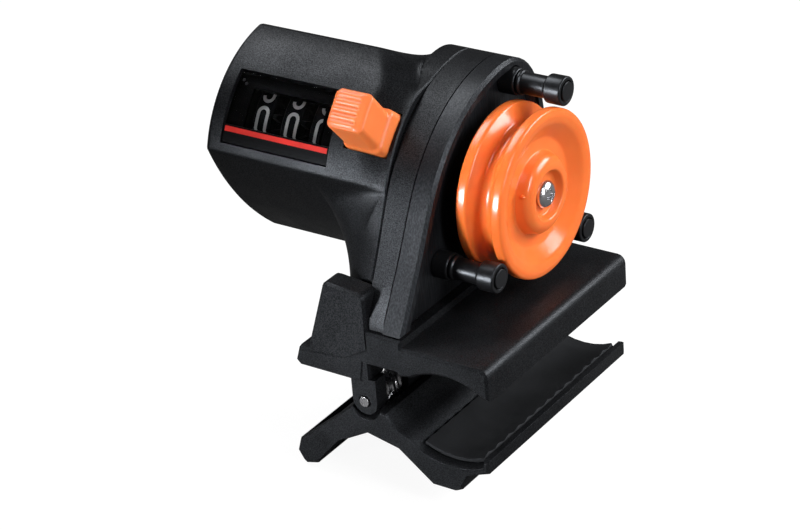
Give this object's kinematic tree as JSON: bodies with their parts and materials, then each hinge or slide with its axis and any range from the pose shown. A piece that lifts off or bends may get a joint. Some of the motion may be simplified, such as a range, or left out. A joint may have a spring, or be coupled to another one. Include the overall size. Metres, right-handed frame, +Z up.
{
  "type": "fishing line counter",
  "caption": "Clip-on fishing line counter: black housing with a digit window and an orange reset button, orange grooved pulley with line guides, and a sprung clamp for the rod.",
  "frame": {"origin": "on the axis of the clamped rod, half way along the jaws", "axes": "+X along the pulley shaft towards the pulley, +Y along the rod, +Z up from the rod to the counter"},
  "size_m": [0.0861, 0.0675, 0.0921],
  "materials": {
    "grained_black": "fine grain",
    "satin_black": "satin, brushed upright",
    "gloss_black": "satin to gloss",
    "orange": "slightly clear gloss",
    "clear": "clear plastic, polished",
    "steel": "turned",
    "bright": "polished dome",
    "brass": "turned",
    "white": "moulded",
    "rubber": "matt"
  },
  "bodies": {
    "housing": {"barrel_housing": "grained_black", "gear_case": "grained_black", "saddle_pad": "rubber", "front_cover": "satin_black", "window_lens": "clear", "index_strip": "gloss_black", "shaft_bush": "brass", "upper_guide_pin": "gloss_black", "front_guide_pin": "gloss_black", "rear_guide_pin": "gloss_black", "idler_pin": "steel", "number_wheel_shaft": "steel", "pinion_shaft": "steel", "hammer_pin": "steel", "hinge_pin": "steel", "barrel_screw_1": "steel", "barrel_screw_2": "steel", "barrel_screw_3": "steel", "cover_screw_near": "steel", "cover_screw_far": "steel", "front_jaw_spring": "steel", "rear_jaw_spring": "steel", "reset_spring": "steel"},
    "pulley": {"line_pulley": "orange", "pulley_screw": "bright", "main_shaft": "steel", "main_pinion": "white"},
    "upper_roller": {"upper_guide_roller": "gloss_black"},
    "front_roller": {"front_guide_roller": "gloss_black"},
    "rear_roller": {"rear_guide_roller": "gloss_black"},
    "idler": {"idler_gear": "white"},
    "drive": {"drive_wheel": "white"},
    "units": {"units_wheel": "gloss_black"},
    "tens": {"tens_wheel": "gloss_black"},
    "hundreds": {"hundreds_wheel": "gloss_black"},
    "units_transfer": {"units_transfer_pinion": "white"},
    "tens_transfer": {"tens_transfer_pinion": "white"},
    "hundreds_transfer": {"hundreds_transfer_pinion": "white"},
    "button": {"reset_button": "orange"},
    "hammer": {"reset_hammer": "white"},
    "jaw": {"lower_jaw": "grained_black", "jaw_pad": "rubber"}
  },
  "joints": [
    {"name": "pulley_spin", "type": "hinge", "parent": "housing", "child": "pulley", "pos_m": [-0.0025, 0.0101, 0.0385], "axis": [1, 0, 0], "continuous": true},
    {"name": "upper_roller_spin", "type": "hinge", "parent": "housing", "child": "upper_roller", "pos_m": [-0.003, 0.02097, 0.05973], "axis": [1, 0, 0], "continuous": true},
    {"name": "front_roller_spin", "type": "hinge", "parent": "housing", "child": "front_roller", "pos_m": [-0.003, -0.0107, 0.02683], "axis": [1, 0, 0], "continuous": true},
    {"name": "rear_roller_spin", "type": "hinge", "parent": "housing", "child": "rear_roller", "pos_m": [-0.003, 0.02717, 0.02184], "axis": [1, 0, 0], "continuous": true},
    {"name": "idler_spin", "type": "hinge", "parent": "housing", "child": "idler", "pos_m": [-0.018, 0.02104, 0.04786], "axis": [1, 0, 0], "continuous": true},
    {"name": "drive_spin", "type": "hinge", "parent": "housing", "child": "drive", "pos_m": [-0.03, 0.00621, 0.04302], "axis": [1, 0, 0], "continuous": true},
    {"name": "units_spin", "type": "hinge", "parent": "housing", "child": "units", "pos_m": [-0.0469, 0.00621, 0.04302], "axis": [1, 0, 0], "continuous": true},
    {"name": "tens_spin", "type": "hinge", "parent": "housing", "child": "tens", "pos_m": [-0.0551, 0.00621, 0.04302], "axis": [1, 0, 0], "continuous": true},
    {"name": "hundreds_spin", "type": "hinge", "parent": "housing", "child": "hundreds", "pos_m": [-0.0633, 0.00621, 0.04302], "axis": [1, 0, 0], "continuous": true},
    {"name": "units_transfer_spin", "type": "hinge", "parent": "housing", "child": "units_transfer", "pos_m": [-0.0428, 0.02157, 0.03152], "axis": [1, 0, 0], "continuous": true},
    {"name": "tens_transfer_spin", "type": "hinge", "parent": "housing", "child": "tens_transfer", "pos_m": [-0.051, 0.02157, 0.03152], "axis": [1, 0, 0], "continuous": true},
    {"name": "hundreds_transfer_spin", "type": "hinge", "parent": "housing", "child": "hundreds_transfer", "pos_m": [-0.0592, 0.02157, 0.03152], "axis": [1, 0, 0], "continuous": true},
    {"name": "button_press", "type": "slide", "parent": "housing", "child": "button", "axis": [0, 0.7727, -0.6347], "range_m": [0, 0.0025], "stiffness_N_per_m": 300},
    {"name": "hammer_swing", "type": "hinge", "parent": "housing", "child": "hammer", "pos_m": [-0.0313, 0.01178, 0.06042], "axis": [1, 0, 0], "range_deg": [-0.5, 10.5]},
    {"name": "jaw_hinge", "type": "hinge", "parent": "housing", "child": "jaw", "pos_m": [-0.023, 0, -0.002], "axis": [0, 1, 0], "range_deg": [-16, 24], "stiffness_Nm_per_rad": 1.2}
  ],
  "couplings": [
    {"joint": "idler_spin", "follows": "pulley_spin", "ratio": -0.33333},
    {"joint": "drive_spin", "follows": "pulley_spin", "ratio": 0.1},
    {"joint": "units_spin", "follows": "pulley_spin", "ratio": 0.01},
    {"joint": "tens_spin", "follows": "pulley_spin", "ratio": 0.001},
    {"joint": "hundreds_spin", "follows": "pulley_spin", "ratio": 0.0001},
    {"joint": "units_transfer_spin", "follows": "pulley_spin", "ratio": -0.03},
    {"joint": "tens_transfer_spin", "follows": "pulley_spin", "ratio": -0.003},
    {"joint": "hundreds_transfer_spin", "follows": "pulley_spin", "ratio": -0.0003},
    {"joint": "hammer_swing", "follows": "button_press", "rad_per_m": 60.3}
  ]
}
